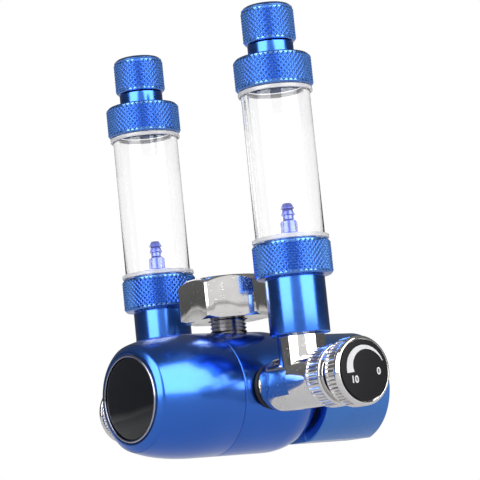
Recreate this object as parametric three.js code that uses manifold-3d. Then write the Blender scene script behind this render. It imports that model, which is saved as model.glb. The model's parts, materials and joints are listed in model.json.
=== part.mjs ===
// Aquarium gas regulator with a solenoid valve, two needle valves and two bubble counters.
// Millimetres, +Z up. The body lies along X, its badge towards -X; the valves stand along -Y (front) and +Y (rear).
// The model is built about the body's own axis, then lowered so that the origin is the centre of the inlet seal.
import * as THREE from "three";
import { mergeVertices } from "three/addons/utils/BufferGeometryUtils.js";
import Module from "manifold-3d";

const wasm = await Module();
wasm.setup();

// ---- Driving dimensions -------------------------------------------------------------------------------------
const GAP = 0.3; // running and seating clearance between neighbouring pieces
const EDGE = 0.5; // chamfer on turned outer edges

const BODY_RADIUS = 19.85;
const SEAM_X = -11; // where the bonnet meets the body
const BODY_END_X = 22.5;
const BODY_CYLINDER_END_X = 9; // the tail of the body starts to round off here
const TAIL_LENGTH = 16.5; // half axes of the ellipse that rounds the tail
const TAIL_DEPTH = 12;

const BONNET_END_X = -41.9;
const DOME_START_X = -20;
const DOME_LENGTH = 25; // half axes of the ellipse that rounds the dome
const DOME_DEPTH = 7.1;
const DOME_LIP_X = -40.8; // the dome ends in a small bevel from here to the bonnet's end
const BEZEL_RADIUS = 14.4;
const BEZEL_WIDTH = 1.3;
const BEZEL_HEIGHT = 2.3;
const BADGE_CROWN = 0.9;
const BADGE_THICKNESS = 1.8;

const SPIGOT_RADIUS = 16; // the bonnet's thread in the body
const SPIGOT_LENGTH = 3.7;
const PISTON_RADIUS = 12.7;
const PISTON_THICKNESS = 4;
const PISTON_TRAVEL = 0.9;
const PISTON_RING_WIDTH = 1.6;
const PISTON_RING_DEPTH = 1.3;
const SPRING_MEAN_RADIUS = 5.4;
const SPRING_WIRE_RADIUS = 0.8;
const SPRING_TURNS = 5;
const SPRING_PLATE_RADIUS = 6.7;
const SPRING_PLATE_THICKNESS = 2;
const ADJUSTER_RADIUS = 5;
const ADJUSTER_LENGTH = 8.4;

const SEAT_RADIUS = 4;
const SEAT_THICKNESS = 2.4;
const SEAT_BORE = 1.2;
const POPPET_RADIUS = 3.2;
const POPPET_LENGTH = 4.6;
const POPPET_PIN_RADIUS = 0.8;
const POPPET_CHAMBER_LENGTH = 10.3;
const POPPET_SPRING_WIRE = 0.45;
const POPPET_SPRING_TURNS = 3;
const DRILLING = 1.2; // radius of the gas drillings in the body

const INLET_HEIGHT = 13.15; // sealing face of the inlet, above the top of the body
const STEM_RADIUS = 6;
const STEM_DEPTH = 10.55; // how deep the stem screws into the body
const STEM_BORE = 2;
const STEM_FLANGE_RADIUS = 9.7;
const STEM_FLANGE_THICKNESS = 2.4;
const SEAL_THICKNESS = 2;
const FILTER_RADIUS = 3.7;
const NUT_ACROSS_FLATS = 27;
const NUT_HEIGHT = 13.5;
const NUT_FLOOR = 4; // thickness of the shoulder that the flange seats on
const NUT_BORE = 10.3;
const NUT_TURN = -1.4; // degrees that the nut stands turned at rest
const NUT_CROWN = 1.6; // height of the chamfer round the nut's open end

const PORT_RADIUS = 5; // ports for the valves in the body's sides
const PORT_DEPTH = 5;
const PORT_FACE_DEPTH = 0.65; // flat spot face round each port
const PORT_SPIGOT_LENGTH = 6.4;
const WASHER_THICKNESS = 1.1;
const WASHER_RADIUS = 7.4;

const VALVE_RADIUS = 8.7;
const VALVE_NOSE_RADIUS = 6.6;
const VALVE_LENGTH = 26;
const VALVE_NECK_RADIUS = 6;
const VALVE_NECK_LENGTH = 4.7;
const FLAT_DEPTH = 1; // how deep the wrench flats cut into the valve
const FLAT_LENGTH = 14;
const FLAT_START = 1.8; // from the valve's nose to the flat
const SPINDLE_RADIUS = 3;
const NEEDLE_RADIUS = 2.2;
const NEEDLE_TIP_FROM_NOSE = 10.4;
const JET_RADIUS = 1.5;
const LOCK_RING_RADIUS = 9.7;
const LOCK_RING_LENGTH = 6.8;
const LOCK_RING_WALL = 2.1;
const KNOB_RADIUS = 10.7;
const KNOB_GRIP_LENGTH = 6.3;
const KNOB_HUB_RADIUS = 7.6;
const KNOB_HUB_LENGTH = 2.7;
const KNOB_STANDOFF = 0.9; // from the lock ring to the knob's hub
const KNOB_FACE_THICKNESS = 1.5;
const DIAL_RADIUS = 9.3;
const DIAL_THICKNESS = 0.6;
const DIAL_RECESS = 0.6;
const SET_SCREW_RADIUS = 1.5;
const SET_SCREW_LENGTH = 5.4;
const SET_SCREW_TURN = -60; // degrees round the knob

const COUNTER_FROM_NOSE = 15; // from the valve's nose to the axis of the counter
const BOSS_RADIUS = 7.5; // boss of the valve under the counter
const BOSS_TOP_Z = 14.2;
const BOSS_SPIGOT_LENGTH = 4;
const BARREL_STEP = 0.5; // how far the barrel stands out past the tube's bore
const BARREL_HEIGHT = 17.8;
const TUBE_INNER_RADIUS = 9;
const TUBE_WALL = 2;
const TUBE_LENGTH = 63;
const COLLAR_WALL = 1.2;
const COLLAR_HEIGHT = 11;
const COLLAR_FLOOR = 2.6;
const LOWER_WASHER_WIDTH = 0.9;
const LOWER_WASHER_THICKNESS = 1.3;
const UPPER_WASHER_WIDTH = 0.6;
const UPPER_WASHER_THICKNESS = 1.3;
const CAP_HEIGHT = 10.4;
const CAP_TOP_WALL = 4.5;
const BUBBLE_STEM_RADIUS = 3;
const BUBBLE_STEM_LENGTH = 8.8;
const BUBBLE_FLANGE_RADIUS = 6.1;
const BUBBLE_NOZZLE_HEIGHT = 10.9; // above the barrel's top
const BALL_RADIUS = 2;
const BALL_CHAMBER_RADIUS = 2.5;
const OUTLET_NECK_RADIUS = 7.35;
const OUTLET_NECK_HEIGHT = 4;
const OUTLET_TAIL_LENGTH = 7;
const OUTLET_TIP_RADIUS = 2;
const OUTLET_PROUD = 0.5; // how far the outlet's tip stands above the clamp nut
const CLAMP_RADIUS = 8.5;
const CLAMP_HEIGHT = 12.5;
const CLAMP_SHOULDER = 3; // height of the rounded top of the clamp nut
const CLAMP_BORE = 5.5;
const CLAMP_TOP_WALL = 2.9;

const GASKET_RADIUS = 13.8;
const GASKET_THICKNESS = 1.1;
const HOUSING_RADIUS = 18.5;
const HOUSING_LENGTH = 27.1;
const HOUSING_FLAT_Z = -17.5; // flat underside of the housing
const HOUSING_CAVITY_RADIUS = 15.5;
const HOUSING_FRONT_WALL = 2.4;
const COVER_RADIUS = 15.9;
const COVER_THICKNESS = 1.7;
const GUIDE_RADIUS = 6;
const GUIDE_START_X = 12.3;
const GUIDE_LENGTH = 32.7;
const GUIDE_CORE = 6; // solid end of the guide tube
const GUIDE_STUD_RADIUS = 3;
const GUIDE_STUD_LENGTH = 4;
const PLUNGER_RADIUS = 4;
const PLUNGER_LENGTH = 21.1;
const PLUNGER_SPRING_WIRE = 0.5;
const PLUNGER_SPRING_TURNS = 3;
const COIL_RADIUS = 14;
const COIL_FLANGE_RADIUS = 15.1;
const COIL_LENGTH = 17.6;
const COIL_FLANGE = 1.5;
const COIL_NUT_INSET = 1; // how far the nut's flats stand in from the guide tube
const COIL_NUT_HEIGHT = 3.3;
const GLAND_RADIUS = 5;
const GLAND_FLANGE_RADIUS = 6.5;
const GLAND_BORE = 3.3;
const GLAND_Z = -8.6;
const GLAND_PROUD = 4.2;

const WIDE = 20; // sides of the wide, middle and slim turned pieces
const ROUND = 16;
const SLIM = 10;

// ---- Finishes -----------------------------------------------------------------------------------------------
const finish = (color, roughness, metalness, extra = {}) =>
  new THREE.MeshStandardMaterial({ color, roughness, metalness, ...extra });
const BLUE = finish(0x1546b8, 0.25, 0.85);
const CHROME = finish(0xd8d8d6, 0.08, 1);
const DARK_STEEL = finish(0x55524e, 0.3, 1);
const SPRING_STEEL = finish(0x9a9a9c, 0.35, 1);
const BRASS = finish(0xb8954a, 0.35, 1);
const COPPER = finish(0xa8552c, 0.4, 0.8);
const BLACK_GLOSS = finish(0x08090b, 0.05, 0);
const BLACK_RUBBER = finish(0x111113, 0.8, 0);
const WHITE_SEAL = finish(0xe9ebee, 0.5, 0);
const ACRYLIC = finish(0xf4f6fa, 0.05, 0, { transparent: true, opacity: 0.3 });

// ---- Solids -------------------------------------------------------------------------------------------------
/** A closed three.js geometry as a manifold-3d solid. */
function solid(geometry) {
  const bare = geometry.index ? geometry.toNonIndexed() : geometry.clone();
  bare.deleteAttribute("normal");
  bare.deleteAttribute("uv");
  const merged = mergeVertices(bare, 1e-4);
  const corners = merged.index.array;
  const kept = [];
  for (let i = 0; i < corners.length; i += 3) {
    const [a, b, c] = [corners[i], corners[i + 1], corners[i + 2]];
    if (a !== b && b !== c && c !== a) kept.push(a, b, c);
  }
  const vertProperties = merged.attributes.position.array;
  return new wasm.Manifold(new wasm.Mesh({ numProp: 3, vertProperties, triVerts: new Uint32Array(kept) }));
}

/** A manifold-3d solid as a three.js geometry. */
function geometryOf(body) {
  const { numProp, numVert, vertProperties, triVerts } = body.getMesh();
  const positions = new Float32Array(numVert * 3);
  for (let i = 0; i < numVert; i++) {
    positions.set(vertProperties.subarray(i * numProp, i * numProp + 3), i * 3);
  }
  const geometry = new THREE.BufferGeometry();
  geometry.setAttribute("position", new THREE.BufferAttribute(positions, 3));
  geometry.setIndex(new THREE.BufferAttribute(triVerts, 1));
  geometry.computeVertexNormals();
  return geometry;
}

const ALONG = {
  x: (geometry) => geometry.rotateZ(-Math.PI / 2),
  z: (geometry) => geometry.rotateX(Math.PI / 2),
  outward: (geometry) => geometry.rotateX(Math.PI), // towards -Y, the way that the front valve points
};

/** Turns a profile of [radius, height] points round the named axis. The profile closes on itself or on the axis. */
function turned(axis, sides, profile) {
  const onAxis = profile[0][0] === 0 && profile.at(-1)[0] === 0;
  const loop = onAxis ? profile : [...profile, profile[0]];
  const area = loop.reduce((sum, [r, h], i) => {
    const [r2, h2] = loop[(i + 1) % loop.length];
    return sum + r * h2 - r2 * h;
  }, 0);
  const points = (area > 0 ? loop : [...loop].reverse()).map(([r, h]) => new THREE.Vector2(r, h));
  return solid(ALONG[axis](new THREE.LatheGeometry(points, sides)));
}

/** A plain rod or, with an inner radius, a plain sleeve. */
function rod(axis, sides, radius, from, to, inner = 0) {
  return turned(axis, sides, [[inner, from], [radius, from], [radius, to], [inner, to]]);
}

/** Outer corners of a turned edge: the profile points that chamfer a rim of this radius from one height to another. */
function rim(radius, from, to, edge = EDGE) {
  return [[radius - edge, from], [radius, from + edge], [radius, to - edge], [radius - edge, to]];
}

/** A quarter of an ellipse as profile points, from the full radius at one place to where it reaches the other. */
function rounding(radius, from, to, length, depth, steps) {
  const last = Math.asin(Math.abs(to - from) / length);
  return Array.from({ length: steps + 1 }, (_, i) => {
    const turn = (last * i) / steps;
    const height = from + Math.sign(to - from) * length * Math.sin(turn);
    return [radius - depth * (1 - Math.cos(turn)), height];
  });
}

/** A hexagonal prism along Z. */
function hexagon(acrossFlats, height, turn = 0) {
  const corner = acrossFlats / Math.sqrt(3);
  const shape = new THREE.Shape(
    Array.from({ length: 6 }, (_, i) => {
      const angle = ((30 + turn + 60 * i) * Math.PI) / 180;
      return new THREE.Vector2(corner * Math.cos(angle), corner * Math.sin(angle));
    }),
  );
  return new THREE.ExtrudeGeometry(shape, { depth: height, bevelEnabled: false });
}

/** A round-wire compression spring along X that fills the space from one place to another. */
function spring(meanRadius, wire, turns, from, to) {
  const start = from + wire;
  const length = to - from - 2 * wire;
  class Coil extends THREE.Curve {
    getPoint(t, target = new THREE.Vector3()) {
      const angle = 2 * Math.PI * turns * t;
      return target.set(start + length * t, meanRadius * Math.cos(angle), meanRadius * Math.sin(angle));
    }
  }
  const section = new THREE.Shape().absarc(0, 0, wire, 0, 2 * Math.PI);
  const settings = { steps: turns * 10, curveSegments: 5, extrudePath: new Coil(), bevelEnabled: false };
  return solid(new THREE.ExtrudeGeometry(section, settings));
}

const assembly = new THREE.Group();

/** Puts a named piece into a group. */
function add(group, name, body, material) {
  const mesh = new THREE.Mesh(body.isBufferGeometry ? body : geometryOf(body), material);
  mesh.name = name;
  group.add(mesh);
  return mesh;
}

// ---- Regulator body and bonnet ------------------------------------------------------------------------------
const inletSealZ = BODY_RADIUS + INLET_HEIGHT;
const stemFootZ = BODY_RADIUS - STEM_DEPTH;
const portFaceY = BODY_RADIUS - PORT_FACE_DEPTH;
const portFloorY = portFaceY - PORT_DEPTH;
const chamberFloorX = SEAM_X + SPIGOT_LENGTH + GAP; // floor of the low-pressure chamber
const pistonFaceX = chamberFloorX - 1.5;
const pistonBackX = pistonFaceX - PISTON_THICKNESS;
const pistonBoreEndX = pistonBackX - PISTON_TRAVEL - GAP;
const seatPocketEndX = chamberFloorX + SEAT_THICKNESS + 2 * GAP;
const poppetChamberEndX = seatPocketEndX + POPPET_CHAMBER_LENGTH;
const poppetChamberRadius = POPPET_RADIUS + 0.4;
const guideSocketRadius = GUIDE_RADIUS + GAP;
const guideSocketX = GUIDE_START_X - GAP;
const stemHoleFloorZ = stemFootZ - GAP;
const crossDrillX = guideSocketX + 4;
const sideDrillY = portFloorY - 2;

function regulatorBody() {
  const tail = rounding(BODY_RADIUS, BODY_CYLINDER_END_X, BODY_END_X, TAIL_LENGTH, TAIL_DEPTH, 5);
  const shell = turned("x", WIDE, [
    [0, poppetChamberEndX],
    [poppetChamberRadius, poppetChamberEndX],
    [poppetChamberRadius, seatPocketEndX],
    [SEAT_RADIUS + GAP, seatPocketEndX],
    [SEAT_RADIUS + GAP, chamberFloorX],
    [SPIGOT_RADIUS + GAP, chamberFloorX],
    [SPIGOT_RADIUS + GAP, SEAM_X],
    [BODY_RADIUS, SEAM_X],
    ...tail,
    [guideSocketRadius, BODY_END_X],
    [guideSocketRadius, guideSocketX],
    [0, guideSocketX],
  ]);
  const cuts = [
    rod("z", ROUND, STEM_RADIUS + GAP, stemHoleFloorZ, BODY_RADIUS + 1),
    rod("z", SLIM, DRILLING, 0, stemHoleFloorZ + 1),
    // low-pressure gas runs under the seat to the solenoid, and from there to both ports
    rod("x", SLIM, DRILLING, chamberFloorX - 1, guideSocketX + 1).translate([0, 0, -5.8]),
    rod("outward", SLIM, DRILLING, -sideDrillY, sideDrillY).translate([crossDrillX, 0, 0]),
  ];
  for (const side of [-1, 1]) {
    const port = turned("outward", ROUND, [
      [0, sideDrillY - DRILLING],
      [STEM_BORE, sideDrillY - DRILLING],
      [STEM_BORE, portFloorY],
      [PORT_RADIUS, portFloorY],
      [PORT_RADIUS, portFaceY],
      [VALVE_RADIUS + GAP, portFaceY],
      [VALVE_RADIUS + GAP, BODY_RADIUS + 1],
      [0, BODY_RADIUS + 1],
    ]);
    cuts.push(side < 0 ? port : port.rotate([0, 0, 180]));
    cuts.push(rod("x", SLIM, DRILLING, 0, crossDrillX + DRILLING / 2).translate([0, side * sideDrillY, 0]));
  }
  return cuts.reduce((body, cut) => body.subtract(cut), shell);
}

const bezelFloorX = BONNET_END_X - 0.4 + BEZEL_HEIGHT;
const recessFloorX = bezelFloorX + GAP;
const adjusterStartX = recessFloorX + GAP;
const adjusterEndX = adjusterStartX + ADJUSTER_LENGTH;
const springPlateX = adjusterEndX + GAP;
const springStartX = springPlateX + SPRING_PLATE_THICKNESS + GAP;
const springChamberRadius = SPRING_PLATE_RADIUS + 0.6;
const springChamberX = springPlateX - 2.4;

function bonnet() {
  const dome = rounding(BODY_RADIUS, DOME_START_X, DOME_LIP_X, DOME_LENGTH, DOME_DEPTH, 8).reverse();
  return turned("x", WIDE, [
    [ADJUSTER_RADIUS + GAP, recessFloorX],
    [BEZEL_RADIUS + GAP, recessFloorX],
    [BEZEL_RADIUS + GAP, BONNET_END_X],
    [BEZEL_RADIUS + 3 * GAP, BONNET_END_X],
    ...dome,
    [BODY_RADIUS, SEAM_X - GAP],
    [SPIGOT_RADIUS, SEAM_X - GAP],
    [SPIGOT_RADIUS, chamberFloorX - GAP],
    [PISTON_RADIUS + GAP, chamberFloorX - GAP],
    [PISTON_RADIUS + GAP, pistonBoreEndX],
    [springChamberRadius, pistonBoreEndX],
    [springChamberRadius, springChamberX],
    [ADJUSTER_RADIUS + GAP, springChamberX],
  ]);
}

function badge() {
  const radius = BEZEL_RADIUS - BEZEL_WIDTH - GAP;
  const rimX = bezelFloorX - BADGE_THICKNESS;
  return turned("x", WIDE, [
    [0, rimX - BADGE_CROWN],
    [radius * 0.55, rimX - BADGE_CROWN * 0.7],
    [radius, rimX],
    [radius, bezelFloorX],
    [0, bezelFloorX],
  ]);
}

function piston() {
  const grooveRadius = PISTON_RADIUS - PISTON_RING_DEPTH - GAP;
  const middle = (pistonBackX + pistonFaceX) / 2;
  const half = PISTON_RING_WIDTH / 2 + GAP;
  return turned("x", WIDE, [
    [0, pistonBackX],
    [PISTON_RADIUS, pistonBackX],
    [PISTON_RADIUS, middle - half],
    [grooveRadius, middle - half],
    [grooveRadius, middle + half],
    [PISTON_RADIUS, middle + half],
    [PISTON_RADIUS, pistonFaceX],
    [0, pistonFaceX],
  ]);
}

function pistonRing() {
  const outer = PISTON_RADIUS + 0.1;
  const inner = PISTON_RADIUS - PISTON_RING_DEPTH;
  const middle = (pistonBackX + pistonFaceX) / 2;
  const half = PISTON_RING_WIDTH / 2;
  return turned("x", WIDE, [
    [inner, middle],
    [(inner + outer) / 2, middle - half],
    [outer, middle],
    [(inner + outer) / 2, middle + half],
  ]);
}

const seatX = chamberFloorX + GAP;
const poppetX = seatX + SEAT_THICKNESS + GAP + PISTON_TRAVEL;

function poppet() {
  return turned("x", SLIM, [
    [0, pistonFaceX + GAP],
    [POPPET_PIN_RADIUS, pistonFaceX + GAP],
    [POPPET_PIN_RADIUS, poppetX],
    [POPPET_RADIUS, poppetX],
    [POPPET_RADIUS, poppetX + POPPET_LENGTH],
    [0, poppetX + POPPET_LENGTH],
  ]);
}

const bezel = rod("x", WIDE, BEZEL_RADIUS, bezelFloorX - BEZEL_HEIGHT, bezelFloorX, BEZEL_RADIUS - BEZEL_WIDTH);
const adjuster = rod("x", ROUND, ADJUSTER_RADIUS, adjusterStartX, adjusterEndX);
const socket = rod("x", 6, ADJUSTER_RADIUS / 2, adjusterStartX - 1, adjusterStartX + ADJUSTER_LENGTH / 2);
const springPlateEndX = springPlateX + SPRING_PLATE_THICKNESS;
const seat = rod("x", SLIM, SEAT_RADIUS, seatX, seatX + SEAT_THICKNESS, SEAT_BORE);
const mainSpring = spring(SPRING_MEAN_RADIUS, SPRING_WIRE_RADIUS, SPRING_TURNS, springStartX, pistonBackX - GAP);
const returnSpring = spring(
  POPPET_RADIUS - POPPET_SPRING_WIRE - GAP,
  POPPET_SPRING_WIRE,
  POPPET_SPRING_TURNS,
  poppetX + POPPET_LENGTH + GAP,
  poppetChamberEndX - GAP,
);

add(assembly, "regulator_body", regulatorBody(), BLUE);
add(assembly, "bonnet_dome", bonnet(), BLUE);
add(assembly, "badge_bezel", bezel, CHROME);
add(assembly, "badge_disc", badge(), BLACK_GLOSS);
add(assembly, "adjusting_screw", adjuster.subtract(socket), BRASS);
add(assembly, "spring_plate", rod("x", ROUND, SPRING_PLATE_RADIUS, springPlateX, springPlateEndX), BRASS);
add(assembly, "regulating_spring", mainSpring, SPRING_STEEL);
add(assembly, "piston", piston(), BRASS);
add(assembly, "piston_oring", pistonRing(), BLACK_RUBBER);
add(assembly, "valve_seat", seat, WHITE_SEAL);
add(assembly, "poppet", poppet(), BRASS);
add(assembly, "poppet_spring", returnSpring, SPRING_STEEL);

// ---- Inlet --------------------------------------------------------------------------------------------------
const sealFloorZ = inletSealZ - SEAL_THICKNESS;
const flangeTopZ = sealFloorZ - GAP;
const flangeZ = flangeTopZ - STEM_FLANGE_THICKNESS;
const nutShoulderZ = flangeZ - GAP;
const nutZ = nutShoulderZ - NUT_FLOOR;

function inletStem() {
  return turned("z", ROUND, [
    [STEM_BORE, stemFootZ],
    [STEM_RADIUS, stemFootZ],
    [STEM_RADIUS, flangeZ],
    [STEM_FLANGE_RADIUS, flangeZ],
    [STEM_FLANGE_RADIUS, flangeTopZ],
    [FILTER_RADIUS + GAP, flangeTopZ],
    [FILTER_RADIUS + GAP, flangeZ],
    [STEM_BORE, flangeZ],
  ]);
}

function cylinderNut() {
  const corner = NUT_ACROSS_FLATS / Math.sqrt(3);
  const flat = NUT_ACROSS_FLATS / 2;
  const topZ = nutZ + NUT_HEIGHT;
  const prism = solid(hexagon(NUT_ACROSS_FLATS, NUT_HEIGHT, NUT_TURN)).translate([0, 0, nutZ]);
  const envelope = turned("z", 24, [
    [0, nutZ],
    [corner - EDGE, nutZ],
    [corner + EDGE, nutZ + EDGE],
    [corner + EDGE, topZ - NUT_CROWN],
    [flat - EDGE, topZ],
    [0, topZ],
  ]);
  const bore = turned("z", 24, [
    [0, nutZ - 1],
    [STEM_RADIUS + 0.5, nutZ - 1],
    [STEM_RADIUS + 0.5, nutShoulderZ],
    [NUT_BORE, nutShoulderZ],
    [NUT_BORE, topZ + 1],
    [0, topZ + 1],
  ]);
  return prism.intersect(envelope).subtract(bore);
}

const sealInner = FILTER_RADIUS + 2 * GAP;
add(assembly, "inlet_stem", inletStem(), DARK_STEEL);
add(assembly, "cylinder_nut", cylinderNut(), CHROME);
add(assembly, "inlet_seal", rod("z", ROUND, STEM_FLANGE_RADIUS - GAP, sealFloorZ, inletSealZ, sealInner), WHITE_SEAL);
add(assembly, "inlet_filter", rod("z", SLIM, FILTER_RADIUS, flangeZ + GAP, flangeTopZ - GAP), BRASS);

// ---- Solenoid valve -----------------------------------------------------------------------------------------
const gasketX = BODY_END_X + GAP;
const housingX = gasketX + GASKET_THICKNESS + GAP;
const housingEndX = housingX + HOUSING_LENGTH;
const cavityX = housingX + HOUSING_FRONT_WALL;
const coverX = housingEndX - GAP - COVER_THICKNESS;
const guideEndX = GUIDE_START_X + GUIDE_LENGTH;
const guideBoreEndX = guideEndX - GUIDE_CORE;
const plungerX = GUIDE_START_X + 0.1;
const plungerEndX = plungerX + PLUNGER_LENGTH;

function solenoidHousing() {
  const shell = turned("x", WIDE, [
    [guideSocketRadius, housingX],
    ...rim(HOUSING_RADIUS, housingX, housingEndX),
    [COVER_RADIUS + GAP, housingEndX],
    [COVER_RADIUS + GAP, coverX - GAP],
    [HOUSING_CAVITY_RADIUS, coverX - GAP],
    [HOUSING_CAVITY_RADIUS, cavityX],
    [guideSocketRadius, cavityX],
  ]);
  const depth = HOUSING_RADIUS + HOUSING_FLAT_Z;
  const below = new THREE.BoxGeometry(HOUSING_LENGTH + 2, 2 * HOUSING_RADIUS, 2 * depth);
  below.translate((housingX + housingEndX) / 2, 0, HOUSING_FLAT_Z - depth);
  return shell.subtract(solid(below));
}

function guideTube() {
  return turned("x", ROUND, [
    [PLUNGER_RADIUS + GAP, GUIDE_START_X],
    [GUIDE_RADIUS, GUIDE_START_X],
    [GUIDE_RADIUS, guideEndX],
    [GUIDE_STUD_RADIUS, guideEndX],
    [GUIDE_STUD_RADIUS, guideEndX + GUIDE_STUD_LENGTH],
    [0, guideEndX + GUIDE_STUD_LENGTH],
    [0, guideBoreEndX],
    [PLUNGER_RADIUS + GAP, guideBoreEndX],
  ]);
}

function coil() {
  const start = cavityX + GAP;
  const end = start + COIL_LENGTH;
  return turned("x", WIDE, [
    [guideSocketRadius, start],
    [COIL_FLANGE_RADIUS, start],
    [COIL_FLANGE_RADIUS, start + COIL_FLANGE],
    [COIL_RADIUS, start + COIL_FLANGE],
    [COIL_RADIUS, end - COIL_FLANGE],
    [COIL_FLANGE_RADIUS, end - COIL_FLANGE],
    [COIL_FLANGE_RADIUS, end],
    [guideSocketRadius, end],
  ]);
}

function coilNut() {
  const prism = solid(hexagon(2 * (GUIDE_RADIUS - COIL_NUT_INSET), COIL_NUT_HEIGHT).rotateY(Math.PI / 2));
  const hole = rod("x", SLIM, GUIDE_STUD_RADIUS + GAP, -1, COIL_NUT_HEIGHT + 1);
  return prism.subtract(hole).translate([guideEndX + GAP, 0, 0]);
}

function cableGland() {
  const faceX = housingEndX;
  return turned("x", ROUND, [
    [GLAND_BORE, coverX],
    [GLAND_RADIUS, coverX],
    [GLAND_RADIUS, faceX],
    ...rim(GLAND_FLANGE_RADIUS, faceX, faceX + GLAND_PROUD),
    [GLAND_BORE, faceX + GLAND_PROUD],
  ]).translate([0, 0, GLAND_Z]);
}

const glandHole = rod("x", ROUND, GLAND_RADIUS + GAP, coverX - 1, housingEndX + 1).translate([0, 0, GLAND_Z]);
const plungerSpring = spring(
  PLUNGER_RADIUS - PLUNGER_SPRING_WIRE - GAP,
  PLUNGER_SPRING_WIRE,
  PLUNGER_SPRING_TURNS,
  plungerEndX + GAP,
  guideBoreEndX - GAP,
);
const gasketEndX = gasketX + GASKET_THICKNESS;

add(assembly, "solenoid_gasket", rod("x", WIDE, GASKET_RADIUS, gasketX, gasketEndX, guideSocketRadius), BLACK_RUBBER);
add(assembly, "solenoid_housing", solenoidHousing(), BLUE);
add(assembly, "solenoid_coil", coil(), COPPER);
add(assembly, "guide_tube", guideTube(), SPRING_STEEL);
add(assembly, "plunger", rod("x", SLIM, PLUNGER_RADIUS, plungerX, plungerEndX), SPRING_STEEL);
add(assembly, "plunger_spring", plungerSpring, SPRING_STEEL);
add(assembly, "coil_nut", coilNut(), CHROME);
add(assembly, "rear_cover", rod("x", WIDE, COVER_RADIUS, coverX, coverX + COVER_THICKNESS).subtract(glandHole), BLUE);
add(assembly, "cable_gland", cableGland(), BLACK_RUBBER);

// ---- Needle valve: heights are distances from the body's axis, out towards the knob --------------------------
const washerY = portFaceY + GAP;
const valveNoseY = washerY + WASHER_THICKNESS + GAP;
const valveEndY = valveNoseY + VALVE_LENGTH;
const needleTipY = valveNoseY + NEEDLE_TIP_FROM_NOSE;
const counterY = valveNoseY + COUNTER_FROM_NOSE;
const neckEndY = valveEndY + VALVE_NECK_LENGTH;
const lockRingY = valveEndY + GAP;
const lockRingEndY = lockRingY + LOCK_RING_LENGTH;
const hubY = lockRingEndY + KNOB_STANDOFF;
const gripY = hubY + KNOB_HUB_LENGTH;
const gripEndY = gripY + KNOB_GRIP_LENGTH;
const dialFloorY = gripEndY - DIAL_RECESS;
const spindleEndY = dialFloorY - KNOB_FACE_THICKNESS - GAP;
const spindleBore = SPINDLE_RADIUS + GAP;

function valveBody() {
  const tee = turned("outward", ROUND, [
    [0, valveNoseY - PORT_SPIGOT_LENGTH],
    [PORT_RADIUS - GAP, valveNoseY - PORT_SPIGOT_LENGTH],
    [PORT_RADIUS - GAP, valveNoseY],
    [VALVE_NOSE_RADIUS, valveNoseY],
    [VALVE_RADIUS - 0.7, valveNoseY + 1.7],
    [VALVE_RADIUS, valveNoseY + 4.6],
    [VALVE_RADIUS, valveEndY],
    [VALVE_NECK_RADIUS, valveEndY],
    [VALVE_NECK_RADIUS, neckEndY],
    [0, neckEndY],
  ]);
  const boss = turned("z", ROUND, [
    [0, 0],
    [BOSS_RADIUS, 0],
    [BOSS_RADIUS, BOSS_TOP_Z],
    [PORT_RADIUS - GAP, BOSS_TOP_Z],
    [PORT_RADIUS - GAP, BOSS_TOP_Z + BOSS_SPIGOT_LENGTH],
    [0, BOSS_TOP_Z + BOSS_SPIGOT_LENGTH],
  ]).translate([0, -counterY, 0]);
  const bore = turned("outward", SLIM, [
    [0, valveNoseY - PORT_SPIGOT_LENGTH - 1],
    [JET_RADIUS, valveNoseY - PORT_SPIGOT_LENGTH - 1],
    [JET_RADIUS, needleTipY + 0.2],
    [spindleBore, needleTipY + 2.2],
    [spindleBore, neckEndY + 1],
    [0, neckEndY + 1],
  ]);
  const riser = rod("z", SLIM, JET_RADIUS, 0, BOSS_TOP_Z + BOSS_SPIGOT_LENGTH + 1).translate([0, -counterY, 0]);
  let body = tee.add(boss).subtract(bore).subtract(riser);
  const height = 2 * Math.sqrt(VALVE_RADIUS ** 2 - (VALVE_RADIUS - FLAT_DEPTH) ** 2) + 0.4;
  for (const side of [-1, 1]) {
    const flat = new THREE.BoxGeometry(2 * FLAT_DEPTH, FLAT_LENGTH, height);
    flat.translate(side * VALVE_RADIUS, -(valveNoseY + FLAT_START + FLAT_LENGTH / 2), 0);
    body = body.subtract(solid(flat));
  }
  return body;
}

function lockRing() {
  return turned("outward", ROUND, [
    [VALVE_NECK_RADIUS + GAP, lockRingY],
    ...rim(LOCK_RING_RADIUS, lockRingY, lockRingEndY),
    [spindleBore, lockRingEndY],
    [spindleBore, lockRingEndY - LOCK_RING_WALL],
    [VALVE_NECK_RADIUS + GAP, lockRingEndY - LOCK_RING_WALL],
  ]);
}

function needle() {
  return turned("outward", SLIM, [
    [0, needleTipY - 0.5],
    [1, needleTipY],
    [NEEDLE_RADIUS, needleTipY + 1.6],
    [NEEDLE_RADIUS, counterY + JET_RADIUS + 1],
    [SPINDLE_RADIUS, counterY + JET_RADIUS + 1.6],
    [SPINDLE_RADIUS, spindleEndY],
    [0, spindleEndY],
  ]);
}

function knob() {
  const grip = turned("outward", ROUND, [
    [spindleBore, hubY],
    [KNOB_HUB_RADIUS, hubY],
    [KNOB_HUB_RADIUS, gripY],
    ...rim(KNOB_RADIUS, gripY, gripEndY),
    [DIAL_RADIUS + GAP, gripEndY],
    [DIAL_RADIUS + GAP, dialFloorY],
    [0, dialFloorY],
    [0, spindleEndY + GAP],
    [spindleBore, spindleEndY + GAP],
  ]);
  return grip.subtract(setScrewRod(SET_SCREW_RADIUS + GAP, SPINDLE_RADIUS, KNOB_RADIUS + 1));
}

/** A radial rod in the middle of the knob's grip, from one distance off the axis to another. */
function setScrewRod(radius, from, to) {
  const place = rod("x", SLIM, radius, from, to).rotate([0, -SET_SCREW_TURN, 0]);
  return place.translate([0, -(gripY + (dialFloorY - gripY) / 2), 0]);
}

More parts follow.
